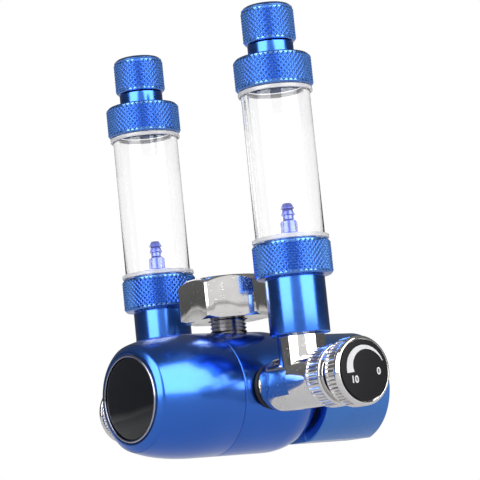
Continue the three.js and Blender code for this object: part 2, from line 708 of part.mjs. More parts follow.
function needleValve(side, group) {
  const washer = rod("outward", ROUND, WASHER_RADIUS, washerY, washerY + WASHER_THICKNESS, PORT_RADIUS);
  const dial = rod("outward", ROUND, DIAL_RADIUS, dialFloorY + GAP, dialFloorY + GAP + DIAL_THICKNESS);
  const screwStart = SPINDLE_RADIUS + GAP;
  add(group, `${side}_port_washer`, washer, BLACK_RUBBER);
  add(group, `${side}_valve_body`, valveBody(), CHROME);
  add(group, `${side}_lock_ring`, lockRing(), CHROME);
  add(group, `${side}_needle`, needle(), SPRING_STEEL);
  add(group, `${side}_knob`, knob(), CHROME);
  add(group, `${side}_dial`, dial, BLACK_GLOSS);
  const screw = setScrewRod(SET_SCREW_RADIUS, screwStart, screwStart + SET_SCREW_LENGTH);
  add(group, `${side}_knob_screw`, screw, DARK_STEEL);
}

// ---- Bubble counter: heights are above the body's axis ------------------------------------------------------
const barrelZ = BOSS_TOP_Z + GAP;
const barrelTopZ = barrelZ + BARREL_HEIGHT;
const spigotRadius = TUBE_INNER_RADIUS - GAP;
const tubeRadius = TUBE_INNER_RADIUS + TUBE_WALL;
const collarZ = barrelTopZ + GAP;
const collarTopZ = collarZ + COLLAR_HEIGHT;
const collarFloorZ = collarZ + COLLAR_FLOOR;
const tubeZ = collarFloorZ + GAP;
const tubeTopZ = tubeZ + TUBE_LENGTH;
const sleeveRadius = tubeRadius + GAP;
const collarRadius = sleeveRadius + COLLAR_WALL;
const barrelRadius = TUBE_INNER_RADIUS + BARREL_STEP;
const lowerWasherZ = collarTopZ + GAP;
const lowerWasherTopZ = lowerWasherZ + LOWER_WASHER_THICKNESS;
const barrelSpigotTopZ = lowerWasherTopZ - 0.1;
const ballSeatZ = barrelZ + BOSS_SPIGOT_LENGTH + 2.5;
const ballChamberZ = ballSeatZ + 1.5;
const stemBore = BUBBLE_STEM_RADIUS + GAP;
const bubbleStemZ = barrelSpigotTopZ + GAP - BUBBLE_STEM_LENGTH;
const capCeilingZ = tubeTopZ + GAP;
const capTopZ = capCeilingZ + CAP_TOP_WALL;
const capZ = capTopZ - CAP_HEIGHT;
const outletNeckZ = capTopZ + GAP;
const clampZ = outletNeckZ + OUTLET_NECK_HEIGHT + GAP;
const clampTopZ = clampZ + CLAMP_HEIGHT;

function barrel() {
  return turned("z", ROUND, [
    [PORT_RADIUS, barrelZ],
    ...rim(barrelRadius, barrelZ, barrelTopZ, 0.3),
    [spigotRadius, barrelTopZ],
    [spigotRadius, barrelSpigotTopZ],
    [stemBore, barrelSpigotTopZ],
    [stemBore, bubbleStemZ - GAP],
    [BALL_CHAMBER_RADIUS, bubbleStemZ - GAP],
    [BALL_CHAMBER_RADIUS, ballChamberZ],
    [JET_RADIUS, ballSeatZ],
    [JET_RADIUS, barrelZ + BOSS_SPIGOT_LENGTH],
    [PORT_RADIUS, barrelZ + BOSS_SPIGOT_LENGTH],
  ]);
}

function lowerCollar() {
  return turned("z", ROUND, [
    [TUBE_INNER_RADIUS, collarZ],
    ...rim(collarRadius, collarZ, collarTopZ),
    [sleeveRadius, collarTopZ],
    [sleeveRadius, collarFloorZ],
    [TUBE_INNER_RADIUS, collarFloorZ],
  ]);
}

function bubbleNozzle() {
  const base = barrelSpigotTopZ + GAP;
  const top = base + BUBBLE_NOZZLE_HEIGHT;
  const barb = 2.5;
  return turned("z", SLIM, [
    [0.8, bubbleStemZ],
    [BUBBLE_STEM_RADIUS, bubbleStemZ],
    [BUBBLE_STEM_RADIUS, base],
    [BUBBLE_FLANGE_RADIUS, base],
    [BUBBLE_FLANGE_RADIUS, base + 1],
    [BUBBLE_STEM_RADIUS - 0.1, base + 1.4],
    [BUBBLE_STEM_RADIUS - 0.1, top - 5.7],
    [1.8, top - 5.1],
    [1.8, top - 3.9],
    [barb, top - 3.7],
    [1.7, top - 2],
    [barb, top - 1.7],
    [1.5, top],
    [0.8, top],
  ]);
}

function checkBall() {
  const ball = new THREE.SphereGeometry(BALL_RADIUS, SLIM, 6).rotateX(Math.PI / 2);
  return solid(ball).translate([0, 0, ballSeatZ + BALL_RADIUS]);
}

function upperCap() {
  return turned("z", ROUND, [
    [sleeveRadius, capZ],
    ...rim(collarRadius, capZ, capTopZ),
    [stemBore, capTopZ],
    [stemBore, capCeilingZ],
    [sleeveRadius, capCeilingZ],
  ]);
}

function outletNozzle() {
  const tipZ = clampTopZ + OUTLET_PROUD;
  return turned("z", SLIM, [
    [1, outletNeckZ - OUTLET_TAIL_LENGTH],
    [BUBBLE_STEM_RADIUS, outletNeckZ - OUTLET_TAIL_LENGTH],
    [BUBBLE_STEM_RADIUS, outletNeckZ],
    [OUTLET_NECK_RADIUS, outletNeckZ],
    [OUTLET_NECK_RADIUS, outletNeckZ + OUTLET_NECK_HEIGHT],
    [BUBBLE_STEM_RADIUS + 0.9, outletNeckZ + OUTLET_NECK_HEIGHT],
    [OUTLET_TIP_RADIUS, outletNeckZ + OUTLET_NECK_HEIGHT + 4],
    [OUTLET_TIP_RADIUS, tipZ],
    [1, tipZ],
  ]);
}

function clampNut() {
  return turned("z", ROUND, [
    [CLAMP_BORE, clampZ],
    [CLAMP_RADIUS - EDGE, clampZ],
    [CLAMP_RADIUS, clampZ + EDGE],
    [CLAMP_RADIUS, clampTopZ - CLAMP_SHOULDER],
    [CLAMP_RADIUS - 1, clampTopZ - CLAMP_SHOULDER / 3],
    [CLAMP_RADIUS / 2, clampTopZ],
    [OUTLET_TIP_RADIUS + EDGE, clampTopZ],
    [OUTLET_TIP_RADIUS + EDGE, clampTopZ - CLAMP_TOP_WALL],
    [CLAMP_BORE, clampTopZ - CLAMP_TOP_WALL],
  ]);
}

function bubbleCounter(side, group) {
  const lowerWasherRadius = sleeveRadius + LOWER_WASHER_WIDTH;
  const upperWasherRadius = sleeveRadius + UPPER_WASHER_WIDTH;
  const lowerWasher = rod("z", ROUND, lowerWasherRadius, lowerWasherZ, lowerWasherTopZ, sleeveRadius);
  const upperWasherTopZ = capZ - GAP;
  const upperWasherZ = upperWasherTopZ - UPPER_WASHER_THICKNESS;
  const upperWasher = rod("z", ROUND, upperWasherRadius, upperWasherZ, upperWasherTopZ, sleeveRadius);
  add(group, `${side}_counter_base`, barrel(), BLUE);
  add(group, `${side}_check_ball`, checkBall(), SPRING_STEEL);
  add(group, `${side}_bubble_nozzle`, bubbleNozzle(), BLUE);
  add(group, `${side}_lower_collar`, lowerCollar(), BLUE);
  add(group, `${side}_lower_washer`, lowerWasher, WHITE_SEAL);
  add(group, `${side}_counter_tube`, rod("z", ROUND, tubeRadius, tubeZ, tubeTopZ, TUBE_INNER_RADIUS), ACRYLIC);
  add(group, `${side}_upper_washer`, upperWasher, WHITE_SEAL);
  add(group, `${side}_upper_cap`, upperCap(), BLUE);
  add(group, `${side}_outlet_nozzle`, outletNozzle(), BLUE);
  add(group, `${side}_clamp_nut`, clampNut(), BLUE);
}

// The rear valve and counter are the front ones turned half round about Z.
for (const side of ["front", "rear"]) {
  const arm = new THREE.Group();
  arm.rotation.z = side === "front" ? 0 : Math.PI;
  needleValve(side, arm);
  const counter = new THREE.Group();
  counter.position.y = -counterY;
  bubbleCounter(side, counter);
  arm.add(counter);
  assembly.add(arm);
}

assembly.position.z = -inletSealZ;
const regulator = new THREE.Group();
regulator.add(assembly);

export default regulator;
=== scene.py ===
# Aquarium gas regulator: twin needle valves with bubble counters, a solenoid behind and a cylinder nut on top.
# Sizes are written in millimetres about the axis of the regulator body, X along it, and become metres when
# a mesh is placed. The front valve points towards -Y, and the rear one is the same turned half round.
import json
import math

import bmesh
import bpy
from mathutils import Matrix, Vector

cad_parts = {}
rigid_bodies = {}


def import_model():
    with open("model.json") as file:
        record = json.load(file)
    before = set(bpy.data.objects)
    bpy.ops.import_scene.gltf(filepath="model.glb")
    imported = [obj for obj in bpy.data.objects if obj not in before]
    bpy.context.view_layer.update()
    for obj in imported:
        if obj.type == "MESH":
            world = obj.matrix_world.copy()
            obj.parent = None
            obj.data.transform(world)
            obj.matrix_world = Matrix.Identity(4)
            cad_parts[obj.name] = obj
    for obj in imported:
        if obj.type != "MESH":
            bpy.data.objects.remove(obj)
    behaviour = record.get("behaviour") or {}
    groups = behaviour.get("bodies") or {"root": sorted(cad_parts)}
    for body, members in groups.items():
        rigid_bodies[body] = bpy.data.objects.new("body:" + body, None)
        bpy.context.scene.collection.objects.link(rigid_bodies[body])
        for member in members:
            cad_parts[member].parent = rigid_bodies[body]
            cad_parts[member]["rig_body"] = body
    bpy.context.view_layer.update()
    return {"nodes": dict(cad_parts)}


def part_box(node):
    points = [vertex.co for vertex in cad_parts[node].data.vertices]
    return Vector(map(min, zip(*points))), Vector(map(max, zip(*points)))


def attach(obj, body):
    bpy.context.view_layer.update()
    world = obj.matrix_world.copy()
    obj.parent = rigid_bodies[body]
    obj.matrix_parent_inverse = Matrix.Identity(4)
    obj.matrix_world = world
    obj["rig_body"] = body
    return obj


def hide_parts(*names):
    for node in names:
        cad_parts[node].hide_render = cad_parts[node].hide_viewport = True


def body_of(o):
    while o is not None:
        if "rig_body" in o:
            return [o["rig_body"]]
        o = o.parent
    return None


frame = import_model()

MM = 0.001
TAU = 2 * math.pi
X, Y, Z = 0, 1, 2


def body_axis_height():
    """Height of the body's axis in the frame, from the badge that sits on it."""
    low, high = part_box("badge_disc")
    return (low.z + high.z) / 2


AXIS_Z = body_axis_height()


def span(node, axis):
    """Where a CAD node starts and ends along one axis, in millimetres about the body's axis."""
    low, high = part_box(node)
    shift = AXIS_Z if axis == Z else 0
    return (low[axis] - shift) / MM, (high[axis] - shift) / MM


def reach(node):
    """How near to and how far from the body's axis a front node stands, towards the front."""
    low, high = span(node, Y)
    return -high, -low


def radius_of(node, axis=X):
    low, high = span(node, axis)
    return (high - low) / 2


# ---- Camera and studio --------------------------------------------------------------------------------------
CAMERA_PLACE = Vector((-0.41965, -0.53562, -0.07586))
CAMERA_RIGHT = Vector((0.7857, -0.6105, -0.1))
CAMERA_UP = Vector((-0.0051, -0.1681, 0.9858))
CAMERA_LENS = 156.9
FLOOR_Z = -0.112
STUDIO_DISTANCE = 1.25


def set_camera():
    data = bpy.data.cameras.new("camera")
    data.lens = CAMERA_LENS
    data.sensor_width = 36
    data.clip_start = 0.01
    camera = bpy.data.objects.new("camera", data)
    right = CAMERA_RIGHT.normalized()
    back = right.cross(CAMERA_UP).normalized()
    up = back.cross(right)
    turn = Matrix((right, up, back)).transposed().to_4x4()
    camera.matrix_world = Matrix.Translation(CAMERA_PLACE) @ turn
    bpy.context.scene.collection.objects.link(camera)
    bpy.context.scene.camera = camera


set_camera()
bpy.context.scene.view_settings.view_transform = "Standard"


# ---- Node trees ---------------------------------------------------------------------------------------------
class Wire:
    """An output socket that sums can be written on."""

    def __init__(self, bench, socket):
        self.bench = bench
        self.socket = socket

    def other(self, name):
        """Another output of the same node."""
        return Wire(self.bench, self.socket.node.outputs[name])

    def sum(self, operation, *values):
        inputs = dict(enumerate(values))
        return self.bench.node("ShaderNodeMath", {"operation": operation}, inputs)

    def __add__(self, value):
        return self.sum("ADD", self, value)

    __radd__ = __add__

    def __sub__(self, value):
        return self.sum("SUBTRACT", self, value)

    def __rsub__(self, value):
        return self.sum("SUBTRACT", value, self)

    def __mul__(self, value):
        return self.sum("MULTIPLY", self, value)

    __rmul__ = __mul__

    def __truediv__(self, value):
        return self.sum("DIVIDE", self, value)

    def __mod__(self, value):
        return self.sum("FLOORED_MODULO", self, value)

    def floor(self):
        return self.sum("FLOOR", self)

    def cos(self):
        return self.sum("COSINE", self)

    def sin(self):
        return self.sum("SINE", self)

    def least(self, value):
        return self.sum("MINIMUM", self, value)

    def most(self, value):
        return self.sum("MAXIMUM", self, value)

    def ramp(self, low, high, to_low=0.0, to_high=1.0):
        """Runs from one value to another, and stays there, as this runs from low to high."""
        ends = {"From Min": low, "From Max": high, "To Min": to_low, "To Max": to_high, "Value": self}
        return self.bench.node("ShaderNodeMapRange", {"clamp": True}, ends)


class Bench:
    """Builds the nodes of one tree."""

    def __init__(self, tree):
        self.tree = tree

    def node(self, kind, settings=None, values=None, output=0):
        """Adds a node with its settings, then the values or links of its inputs."""
        made = self.tree.nodes.new(kind)
        for name, value in (settings or {}).items():
            setattr(made, name, value)
        for key, value in (values or {}).items():
            if isinstance(value, Wire):
                self.tree.links.new(value.socket, made.inputs[key])
            else:
                made.inputs[key].default_value = value
        if not made.outputs:
            return None
        return Wire(self, made.outputs[output])


class Finish(Bench):
    """A material with one Principled surface."""

    def __init__(self, name, **constants):
        self.material = bpy.data.materials.new(name)
        self.material.use_nodes = True
        super().__init__(self.material.node_tree)
        self.surface = self.tree.nodes["Principled BSDF"]
        self.place = self.node("ShaderNodeTexCoord", output="Object")
        for socket, value in constants.items():
            self.surface.inputs[socket.replace("_", " ")].default_value = value

    def feed(self, socket, wire):
        self.tree.links.new(wire.socket, self.surface.inputs[socket])

    def noise(self, scale, detail=2.0):
        values = {"Vector": self.place, "Scale": scale, "Detail": detail}
        return self.node("ShaderNodeTexNoise", None, values, "Fac")

    def blend(self, factor, first, second):
        """A colour between two colours, by a factor."""
        settings = {"data_type": "RGBA"}
        return self.node("ShaderNodeMix", settings, {0: factor, 6: first, 7: second}, 2)

    def bump(self, height, distance, strength=1.0, under=None):
        values = {"Height": height, "Distance": distance, "Strength": strength}
        if under:
            values["Normal"] = under
        return self.node("ShaderNodeBump", None, values)


def shade(colour, factor):
    """A colour, darker or lighter by a factor."""
    return tuple(min(1.0, part * factor) for part in colour[:3]) + (1.0,)


def anodised(name, colour, roughness, grain=0.000004):
    """Dyed aluminium: a satin metal with a faint bead-blasted grain and slightly uneven dye."""
    finish = Finish(name, Metallic=1.0, Coat_Weight=0.6, Coat_Roughness=0.14, Coat_IOR=1.45)
    dye = finish.noise(90, 3)
    finish.feed("Base Color", finish.blend(dye, shade(colour, 0.93), shade(colour, 1.07)))
    streaks = finish.noise(700, 4)
    finish.feed("Roughness", streaks.ramp(0.3, 0.7, roughness - 0.03, roughness + 0.03))
    finish.feed("Normal", finish.bump(finish.noise(5200, 2), grain, 0.6))
    return finish.material


def plated(name, colour, roughness):
    """Bright plating, with soft waves of hand polishing and a few tiny pits."""
    finish = Finish(name, Metallic=1.0)
    pits = finish.noise(1500, 3).ramp(0.66, 0.72)
    cloud = finish.noise(260, 3)
    tone = finish.blend(cloud, shade(colour, 0.93), shade(colour, 1.04))
    finish.feed("Base Color", finish.blend(pits * 0.75, tone, (0.05, 0.045, 0.04, 1)))
    finish.feed("Roughness", (cloud.ramp(0.35, 0.7, roughness, roughness + 0.06) + pits * 0.3).least(1.0))
    waves = finish.bump(finish.noise(180, 1), 0.00004, 0.5)
    finish.feed("Normal", finish.bump(pits, -0.00003, 0.8, waves))
    return finish.material


def machined(name, colour, roughness, variation=0.15):
    """Bare turned metal with fine tool marks."""
    finish = Finish(name, Metallic=1.0)
    cloud = finish.noise(300, 3)
    finish.feed("Base Color", finish.blend(cloud, shade(colour, 1 - variation), shade(colour, 1 + variation)))
    marks = finish.noise(2400, 3)
    finish.feed("Roughness", marks.ramp(0.3, 0.7, roughness - 0.06, roughness + 0.08))
    finish.feed("Normal", finish.bump(marks, 0.00001, 0.5))
    return finish.material


def moulded(name, colour, roughness, grain_scale=2600, grain=0.000012, **constants):
    """Rubber or plastic with a fine surface grain."""
    finish = Finish(name, **constants)
    cloud = finish.noise(220, 2)
    finish.feed("Base Color", finish.blend(cloud, shade(colour, 0.88), shade(colour, 1.12)))
    speck = finish.noise(grain_scale, 3)
    finish.feed("Roughness", speck.ramp(0.3, 0.7, roughness * 0.9, min(1.0, roughness * 1.1)))
    finish.feed("Normal", finish.bump(speck, grain, 0.5))
    return finish.material


def wound_copper(name):
    """Enamelled wire wound round the X axis."""
    finish = Finish(name, Metallic=0.9)
    along = finish.node("ShaderNodeSeparateXYZ", None, {0: finish.place}, "X")
    wire_pitch = 0.0004
    turns = (along * (TAU / wire_pitch)).sin()
    finish.feed("Base Color", finish.blend(turns.ramp(-1, 1), (0.18, 0.05, 0.015, 1), (0.5, 0.17, 0.06, 1)))
    finish.feed("Roughness", finish.noise(900).ramp(0.3, 0.7, 0.28, 0.42))
    finish.feed("Normal", finish.bump(turns, 0.0001, 0.8))
    return finish.material


def clear_plastic(name):
    """Cast acrylic tube: clear, with a hint of handling marks in the gloss."""
    finish = Finish(name, Transmission_Weight=1.0, IOR=1.45)
    marks = finish.noise(160, 4)
    finish.feed("Base Color", finish.blend(marks, (0.985, 0.985, 0.99, 1), (1, 1, 1, 1)))
    finish.feed("Roughness", marks.ramp(0.5, 0.8, 0.0, 0.03))
    return finish.material


BLUE = (0.028, 0.145, 0.62)
BLUE_METAL = anodised("blue_anodised_satin", BLUE, 0.23)
BARREL_METAL = anodised("blue_anodised_barrel", (0.035, 0.16, 0.66), 0.21)
KNURL_METAL = anodised("blue_anodised_knurl", (0.085, 0.235, 0.66), 0.26, 0.000008)
BLOCK_METAL = anodised("blue_anodised_block", (0.060, 0.22, 0.66), 0.3, 0.000008)
BARB_METAL = anodised("blue_anodised_barb", (0.09, 0.12, 0.52), 0.22)
CHROME = plated("chrome_plate", (0.80, 0.785, 0.775), 0.05)
BEZEL_METAL = plated("bezel_plate", (0.40, 0.42, 0.52), 0.14)
DARK_STEEL = machined("dark_thread_steel", (0.42, 0.41, 0.41), 0.18)
STEEL = machined("bright_steel", (0.56, 0.56, 0.57), 0.3)
BRASS = machined("turned_brass", (0.66, 0.46, 0.17), 0.28)
COPPER = wound_copper("wound_copper")
BADGE_GLOSS = moulded("badge_lacquer", (0.008, 0.009, 0.012), 0.045, 90, 0.00001)
DIAL_BLACK = moulded("dial_black", (0.010, 0.010, 0.012), 0.4, Specular_IOR_Level=0.15)
DIAL_WHITE = moulded("dial_print", (0.88, 0.88, 0.89), 0.45)
RUBBER = moulded("black_rubber", (0.013, 0.013, 0.014), 0.6, 1900, 0.00003)
SEAL = moulded("white_seal", (0.87, 0.87, 0.89), 0.32, Transmission_Weight=0.35)
ACRYLIC = clear_plastic("clear_acrylic")


# ---- Mesh work ----------------------------------------------------------------------------------------------
def eased(profile, steps=4):
    """Rounds the corners of a profile: a point's third number is how far from the corner its rounding starts."""
    points = []
    for i, (radius, along, *ease) in enumerate(profile):
        if not ease:
            points.append((radius, along))
            continue
        here = Vector((radius, along))
        before = Vector(profile[i - 1][:2])
        after = Vector(profile[(i + 1) % len(profile)][:2])
        start = here + (before - here).normalized() * ease[0]
        end = here + (after - here).normalized() * ease[0]
        for k in range(steps + 1):
            t = k / steps
            point = start * (1 - t) ** 2 + here * 2 * t * (1 - t) + end * t ** 2
            points.append((point.x, point.y))
    return points


def ellipse(radius, start, end, length, depth, steps=24):
    """Profile points that fall away from the full radius along a quarter of an ellipse."""
    last = math.asin(abs(end - start) / length)
    way = 1 if end > start else -1
    turns = [last * i / steps for i in range(steps + 1)]
    return [(radius - depth * (1 - math.cos(t)), start + way * length * math.sin(t)) for t in turns]


def revolve(profile, sides=128, flat=None):
    """Turns a profile of (radius, along) points round local Z into a closed mesh, in metres.

    flat cuts the round off at that distance below the axis, on the side of local +X.
    """
    bm = bmesh.new()
    outline = eased(profile)
    rings = []
    for radius, along in outline:
        if radius < 1e-6:
            pole = bm.verts.new((0, 0, along * MM))
            rings.append([pole] * sides)
            continue
        ring = []
        for i in range(sides):
            angle = TAU * i / sides
            across = radius * math.cos(angle)
            if flat is not None:
                across = min(across, flat)
            ring.append(bm.verts.new((across * MM, radius * math.sin(angle) * MM, along * MM)))
        rings.append(ring)
    on_axis = outline[0][0] < 1e-6 and outline[-1][0] < 1e-6
    following = rings[1:] if on_axis else rings[1:] + rings[:1]
    for lower, upper in zip(rings, following):
        for i in range(sides):
            j = (i + 1) % sides
            corners = list(dict.fromkeys((lower[i], lower[j], upper[j], upper[i])))
            if len(corners) > 2:
                bm.faces.new(corners)
    bmesh.ops.recalc_face_normals(bm, faces=bm.faces)
    mesh = bpy.data.meshes.new("turned")
    bm.to_mesh(mesh)
    bm.free()
    return mesh


ALONG = {
    X: Matrix.Rotation(math.pi / 2, 4, "Y"),
    Z: Matrix.Identity(4),
    "out": Matrix.Rotation(math.pi / 2, 4, "X"),
}


def placed(mesh, axis, centre=(0, 0, 0)):
    """Lays a mesh made about local Z along an axis of the frame, through a point in millimetres."""
    place = Vector(centre) * MM + Vector((0, 0, AXIS_Z))
    mesh.transform(Matrix.Translation(place) @ ALONG[axis])
    return mesh


def turned(axis, profile, centre=(0, 0, 0), sides=128, flat=None):
    return placed(revolve(profile, sides, flat), axis, centre)


def joined(*meshes):
    """Several meshes as one."""
    bm = bmesh.new()
    for mesh in meshes:
        bm.from_mesh(mesh)
    whole = bpy.data.meshes.new("joined")
    bm.to_mesh(whole)
    bm.free()
    return whole


def worked(mesh, *modifiers):
    """A mesh after modifiers, each a (kind, settings) pair."""
    holder = bpy.data.objects.new("workpiece", mesh)
    bpy.context.scene.collection.objects.link(holder)
    for kind, settings in modifiers:
        modifier = holder.modifiers.new(kind.lower(), kind)
        for name, value in settings.items():
            setattr(modifier, name, value)
    graph = bpy.context.evaluated_depsgraph_get()
    result = bpy.data.meshes.new_from_object(holder.evaluated_get(graph))
    holder.modifiers.clear()
    bpy.data.objects.remove(holder)
    return result


def carved(mesh, *cuts):
    """A mesh joined with, or cut by, other meshes: each cut is an (operation, mesh) pair."""
    tools = []
    steps = []
    for operation, cutter in cuts:
        tool = bpy.data.objects.new("cutter", cutter)
        bpy.context.scene.collection.objects.link(tool)
        tools.append(tool)
        steps.append(("BOOLEAN", {"operation": operation, "solver": "EXACT", "object": tool}))
    result = worked(mesh, *steps)
    for tool in tools:
        bpy.data.objects.remove(tool)
    return result


def half_turned(mesh):
    """A copy of a front mesh, turned half round for the rear."""
    copy = mesh.copy()
    copy.transform(Matrix.Rotation(math.pi, 4, "Z"))
    return copy


SMOOTH_ANGLE = math.radians(32)


def piece(name, mesh, finish, slot, *nodes, rides_with=None):
    """A finished piece, on the same body as the CAD node that it stands for or rides with."""
    mesh.materials.clear()
    mesh.materials.append(finish)
    mesh.shade_smooth()
    mesh.set_sharp_from_angle(angle=SMOOTH_ANGLE)
    made = bpy.data.objects.new(name, mesh)
    bpy.context.scene.collection.objects.link(made)
    guide = rides_with or nodes[0]
    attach(made, body_of(frame["nodes"][guide])[0])
    if nodes:
        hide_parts(*nodes)


def pair(name, mesh, finish, slot, node=None, rides_with=None):
    """The same piece for the front valve and, turned half round, for the rear one."""
    for side, form in (("front", mesh), ("rear", half_turned(mesh))):
        nodes = [f"{side}_{node}"] if node else []
        guide = f"{side}_{rides_with}" if rides_with else None
        piece(f"{side}_{name}", form, finish, slot, *nodes, rides_with=guide)


# ---- What repeats: knurls, ridges and threads ---------------------------------------------------------------
INPUT_KINDS = {int: "NodeSocketInt", float: "NodeSocketFloat"}


class Grower(Bench):
    """A Geometry Nodes tree with named sizes, whose result becomes a plain mesh."""

    def __init__(self, name, **sizes):
        super().__init__(bpy.data.node_groups.new(name, "GeometryNodeTree"))
        for size, value in sizes.items():
            entry = self.tree.interface.new_socket(size, in_out="INPUT", socket_type=INPUT_KINDS[type(value)])
            entry.default_value = value
        self.tree.interface.new_socket("Finish", in_out="INPUT", socket_type="NodeSocketMaterial")
        self.tree.interface.new_socket("Geometry", in_out="OUTPUT", socket_type="NodeSocketGeometry")
        self.sizes = self.node("NodeGroupInput")

    def size(self, name):
        return self.sizes.other(name)

    def vector(self, x, y, z):
        return self.node("ShaderNodeCombineXYZ", None, {0: x, 1: y, 2: z})

    def ends_in(self, geometry):
        """Makes instances real, gives them their finish and sends them out."""
        real = self.node("GeometryNodeRealizeInstances", None, {0: geometry})
        values = {"Geometry": real, "Material": self.size("Finish")}
        coated = self.node("GeometryNodeSetMaterial", None, values)
        self.node("NodeGroupOutput", None, {0: coated})

    def grow(self, finish, **sizes):
        holder = bpy.data.objects.new("grown", bpy.data.meshes.new("grown"))
        bpy.context.scene.collection.objects.link(holder)
        modifier = holder.modifiers.new("grow", "NODES")
        modifier.node_group = self.tree
        sizes["Finish"] = finish
        for entry in self.tree.interface.items_tree:
            if entry.in_out == "INPUT" and entry.name in sizes:
                modifier[entry.identifier] = sizes[entry.name]
        graph = bpy.context.evaluated_depsgraph_get()
        mesh = bpy.data.meshes.new_from_object(holder.evaluated_get(graph))
        holder.modifiers.clear()
        bpy.data.objects.remove(holder)
        return mesh


def diamond_knurl():
    """Blunt pyramids in staggered rows round local Z, from height 0 upwards."""
    tree = Grower("diamond_knurl", Teeth=72, Rows=18, Radius=0.012, Row_height=0.00055, Depth=0.0004)
    teeth = tree.size("Teeth")
    row_height = tree.size("Row_height")
    radius = tree.size("Radius")
    index = tree.node("GeometryNodeInputIndex")
    row = (index / teeth).floor()
    column = index % teeth + (row % 2) * 0.5
    angle = column * TAU / teeth
    place = tree.vector(angle.cos() * radius, angle.sin() * radius, row * row_height)
    spots = tree.node("GeometryNodePoints", None, {"Count": teeth * tree.size("Rows"), "Position": place})
    tooth_sizes = {"Vertices": 4, "Radius Top": 0.16, "Radius Bottom": 1.0, "Depth": 1.0}
    tooth = tree.node("GeometryNodeMeshCone", None, tooth_sizes)
    spread = {
        "Points": spots,
        "Instance": tooth,
        "Rotation": tree.vector(math.pi / 2, 0.0, angle + math.pi / 2),
        "Scale": tree.vector(radius * math.pi / teeth, row_height, tree.size("Depth")),
    }
    tree.ends_in(tree.node("GeometryNodeInstanceOnPoints", None, spread))
    return tree


def straight_ridges():
    """Rounded bars along local Z, evenly round it."""
    tree = Grower("straight_ridges", Count=48, Radius=0.01, Length=0.004, Width=0.0007, Depth=0.0004)
    count = tree.size("Count")
    depth = tree.size("Depth")
    inset = tree.size("Radius") - depth
    angle = tree.node("GeometryNodeInputIndex") * TAU / count
    place = tree.vector(angle.cos() * inset, angle.sin() * inset, 0.0)
    spots = tree.node("GeometryNodePoints", None, {"Count": count, "Position": place})
    bar = tree.node("GeometryNodeMeshCylinder", None, {"Vertices": 10, "Radius": 1.0, "Depth": 1.0})
    spread = {
        "Points": spots,
        "Instance": bar,
        "Rotation": tree.vector(0.0, 0.0, angle),
        "Scale": tree.vector(depth, tree.size("Width") / 2, tree.size("Length")),
    }
    tree.ends_in(tree.node("GeometryNodeInstanceOnPoints", None, spread))
    return tree


def screw_thread():
    """One thread of diamond section wound round local Z, from height 0 upwards."""
    tree = Grower("screw_thread", Turns=6.0, Radius=0.0054, Pitch=0.0011, Depth=0.00055)
    turns = tree.size("Turns")
    helix = {
        "Resolution": 48,
        "Rotations": turns,
        "Start Radius": tree.size("Radius"),
        "End Radius": tree.size("Radius"),
        "Height": turns * tree.size("Pitch"),
    }
    path = tree.node("GeometryNodeCurveSpiral", None, helix)
    upright = tree.node("GeometryNodeSetCurveNormal", {"mode": "Z_UP"}, {0: path})
    section = tree.node("GeometryNodeCurvePrimitiveCircle", None, {"Resolution": 4, "Radius": tree.size("Depth")})
    sweep = {"Curve": upright, "Profile Curve": section, "Fill Caps": True}
    tree.ends_in(tree.node("GeometryNodeCurveToMesh", None, sweep))
    return tree


KNURL = diamond_knurl()
RIDGES = straight_ridges()
THREAD = screw_thread()
KNURL_DEPTH = 0.5
TOOTH_PITCH = 1.6
ROW_SHARE = 0.54
ROOT_SINK = 0.02
RIDGE_WIDTH = 0.78


def knurled_band(radius, start, end):
    """A diamond knurl that fills a band between two heights, with its crests at the radius."""
    root = radius - KNURL_DEPTH
    teeth = round(TAU * root / TOOTH_PITCH)
    rows = round((end - start) / (TOOTH_PITCH * ROW_SHARE)) - 1
    row_height = (end - start) / (rows + 1)
    sizes = {
        "Teeth": teeth,
        "Rows": rows,
        "Radius": (root - ROOT_SINK) * MM,
        "Row_height": row_height * MM,
        "Depth": (KNURL_DEPTH + ROOT_SINK) * MM,
    }
    mesh = KNURL.grow(KNURL_METAL, **sizes)
    mesh.transform(Matrix.Translation((0, 0, (start + row_height) * MM)))
    return mesh


def ridged_band(count, radius, start, length, depth):
    """Straight ridges round a valve's axis that fill a band, with their crests at the radius."""
    sizes = {
        "Count": count,
        "Radius": radius * MM,
        "Length": (length + 0.2) * MM,
        "Width": RIDGE_WIDTH * MM,
        "Depth": depth * MM,
    }
    return placed(RIDGES.grow(CHROME, **sizes), "out", (0, -(start + length / 2), 0))


# ---- Body and bonnet ----------------------------------------------------------------------------------------
def regulator_body():
    start, end = span("regulator_body", X)
    radius = radius_of("regulator_body", Z)
    port_floor = 14.2
    port_face = 19.2
    tail = ellipse(radius, 9, end, 16.5, 12)
    shell = turned(X, [
        (0, 10.0),
        (3.6, 10.0),
        (3.6, -4.0),
        (4.3, -4.0),
        (4.3, -7.0),
        (16.3, -7.0),
        (16.3, start),
        (radius, start, 0.35),
        *tail[:-1],
        (*tail[-1], 0.5),
        (6.3, end),
        (6.3, 12.0),
        (0, 12.0),
    ], sides=192)
    stem_hole = turned(Z, [(0, 9.0), (6.3, 9.0), (6.3, radius + 2), (0, radius + 2)], sides=96)
    port_profile = [
        (0, port_floor),
        (5.0, port_floor),
        (5.0, port_face),
        (9.0, port_face),
        (9.0, radius + 2),
        (0, radius + 2),
    ]
    port = turned("out", port_profile, sides=96)
    cuts = (("DIFFERENCE", stem_hole), ("DIFFERENCE", port), ("DIFFERENCE", half_turned(port)))
    return carved(shell, *cuts)


